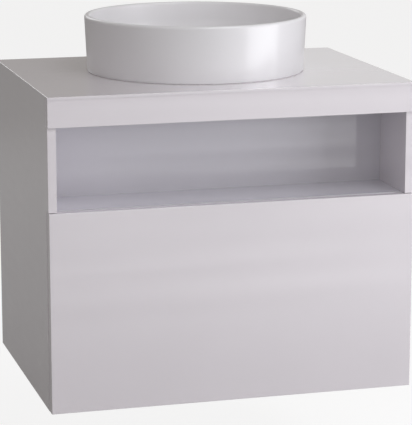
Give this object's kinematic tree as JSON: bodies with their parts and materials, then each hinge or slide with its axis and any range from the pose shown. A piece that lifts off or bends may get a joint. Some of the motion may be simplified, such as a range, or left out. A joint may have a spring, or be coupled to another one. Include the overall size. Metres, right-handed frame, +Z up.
{
  "type": "vessel sink on vanity",
  "caption": "Wall-hung washstand cabinet with a push-to-open drawer under an open niche, carrying a round ceramic vessel basin with its waste and bottle trap.",
  "frame": {"origin": "on the wall plane, midway between the four screw holes of the two wall plates, 520 mm above the cabinet's underside", "axes": "+Z up, +Y into the wall, so the drawer opens along -Y; +X to the right seen from the front"},
  "size_m": [0.7, 0.55, 0.696],
  "materials": {
    "gloss_lacquer": "high-gloss white lacquer on board",
    "gloss_plate": "mirror-gloss white sheet",
    "white_silicone": "smooth white silicone",
    "melamine_board": "satin white melamine on chipboard",
    "beech": "fluted beech dowel",
    "zinc": "bare zinc die casting",
    "zinc_plated_steel": "bright zinc-plated steel",
    "grey_plastic": "grey moulded plastic",
    "glazed_ceramic": "white glazed ceramic",
    "rubber": "matt black rubber",
    "chrome": "polished chrome plating",
    "brass": "turned brass",
    "white_plastic": "white moulded plastic"
  },
  "bodies": {
    "cabinet": {"bottom_panel": "melamine_board", "niche_floor": "gloss_lacquer", "niche_back": "gloss_lacquer", "niche_ceiling": "gloss_lacquer", "front_fascia": "gloss_lacquer", "worktop_board": "melamine_board", "top_plate": "gloss_plate", "rear_rail_upper": "melamine_board", "rear_rail_lower": "melamine_board", "side_panel_right": "gloss_lacquer", "side_panel_left": "gloss_lacquer", "carcass_dowels": "beech", "cam_discs": "zinc", "cam_bolts": "zinc_plated_steel", "wall_plate_right": "zinc_plated_steel", "wall_plate_left": "zinc_plated_steel", "hanger_hook_right": "zinc_plated_steel", "hanger_hook_left": "zinc_plated_steel", "hanger_housing_right": "zinc", "hanger_housing_left": "zinc", "runner_outer_right": "zinc_plated_steel", "runner_outer_left": "zinc_plated_steel", "cabinet_screws": "zinc_plated_steel", "push_latch_housing_right": "grey_plastic", "push_latch_housing_left": "grey_plastic", "basin": "glazed_ceramic", "basin_seal": "white_silicone", "waste_body": "chrome", "waste_gasket": "rubber", "waste_cartridge": "white_plastic", "waste_washer": "rubber", "waste_locknut": "brass", "trap_inlet_pipe": "white_plastic", "trap_union_nut": "white_plastic", "trap_body": "white_plastic", "trap_cup": "white_plastic", "trap_slip_nuts": "white_plastic", "trap_seals": "rubber", "trap_outlet_pipe": "white_plastic", "wall_rosette": "chrome"},
    "drawer": {"drawer_front": "gloss_lacquer", "drawer_side_right": "melamine_board", "drawer_side_left": "melamine_board", "drawer_box_front": "melamine_board", "drawer_back": "melamine_board", "drawer_base": "melamine_board", "drawer_front_screws": "zinc_plated_steel", "runner_inner_right": "zinc_plated_steel", "runner_inner_left": "zinc_plated_steel", "drawer_runner_screws": "zinc_plated_steel"},
    "runner_middles": {"runner_middle_right": "zinc_plated_steel", "runner_middle_left": "zinc_plated_steel"},
    "outer_ball_cages": {"outer_ball_cage_right": "zinc_plated_steel", "outer_ball_cage_left": "zinc_plated_steel"},
    "inner_ball_cages": {"inner_ball_cage_right": "zinc_plated_steel", "inner_ball_cage_left": "zinc_plated_steel"},
    "latch_plunger_right": {"push_latch_plunger_right": "grey_plastic"},
    "latch_plunger_left": {"push_latch_plunger_left": "grey_plastic"},
    "plug": {"waste_plug": "chrome", "waste_plug_stem": "brass"}
  },
  "joints": [
    {"name": "drawer_slide", "type": "slide", "parent": "cabinet", "child": "drawer", "axis": [0, -1, 0], "range_m": [0, 0.39]},
    {"name": "runner_middle_slide", "type": "slide", "parent": "cabinet", "child": "runner_middles", "axis": [0, -1, 0], "range_m": [0, 0.2]},
    {"name": "outer_cage_slide", "type": "slide", "parent": "cabinet", "child": "outer_ball_cages", "axis": [0, -1, 0], "range_m": [0, 0.1]},
    {"name": "inner_cage_slide", "type": "slide", "parent": "cabinet", "child": "inner_ball_cages", "axis": [0, -1, 0], "range_m": [0, 0.3]},
    {"name": "latch_right_press", "type": "slide", "parent": "cabinet", "child": "latch_plunger_right", "axis": [0, 1, 0], "range_m": [0, 0.0018], "stiffness_N_per_m": 600, "springref_m": -0.002},
    {"name": "latch_left_press", "type": "slide", "parent": "cabinet", "child": "latch_plunger_left", "axis": [0, 1, 0], "range_m": [0, 0.0018], "stiffness_N_per_m": 600, "springref_m": -0.002},
    {"name": "plug_lift", "type": "slide", "parent": "cabinet", "child": "plug", "axis": [0, 0, 1], "range_m": [0, 0.008]}
  ],
  "couplings": [
    {"joint": "runner_middle_slide", "follows": "drawer_slide", "ratio": 0.5},
    {"joint": "outer_cage_slide", "follows": "drawer_slide", "ratio": 0.25},
    {"joint": "inner_cage_slide", "follows": "drawer_slide", "ratio": 0.75}
  ]
}
